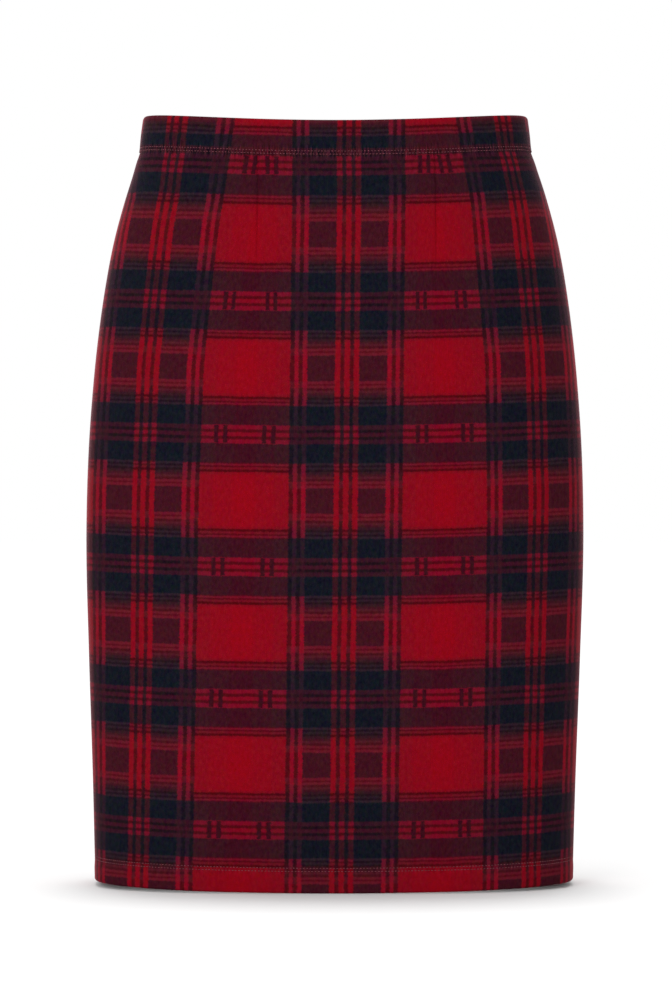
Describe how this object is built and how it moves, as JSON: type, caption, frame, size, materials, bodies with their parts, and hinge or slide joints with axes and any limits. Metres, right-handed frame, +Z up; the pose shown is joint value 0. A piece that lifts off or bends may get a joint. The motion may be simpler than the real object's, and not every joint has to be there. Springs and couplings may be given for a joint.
{
  "type": "straight skirt",
  "caption": "Straight knee-length skirt in brushed tartan jersey, shaped by waist darts, with an elastic waist casing and a stitched turned-up hem, open at waist and hem.",
  "frame": {"origin": "on the axis of the figure, at the mid-height of the waist casing at the side seams, where the wearer's waist holds the skirt up", "axes": "+Z up toward the waist edge, -Y toward the front of the skirt, +X to the right when the front is looked at"},
  "size_m": [0.3664, 0.2301, 0.5657],
  "materials": {
    "jersey": "brushed double-knit jersey printed with a red, navy and black tartan, matt with a soft nap",
    "casing_jersey": "the same brushed jersey turned over a flat elastic, matt"
  },
  "bodies": {
    "root": {"front_panel": "jersey", "back_panel": "jersey", "front_waistband": "casing_jersey", "back_waistband": "casing_jersey"}
  },
  "joints": []
}
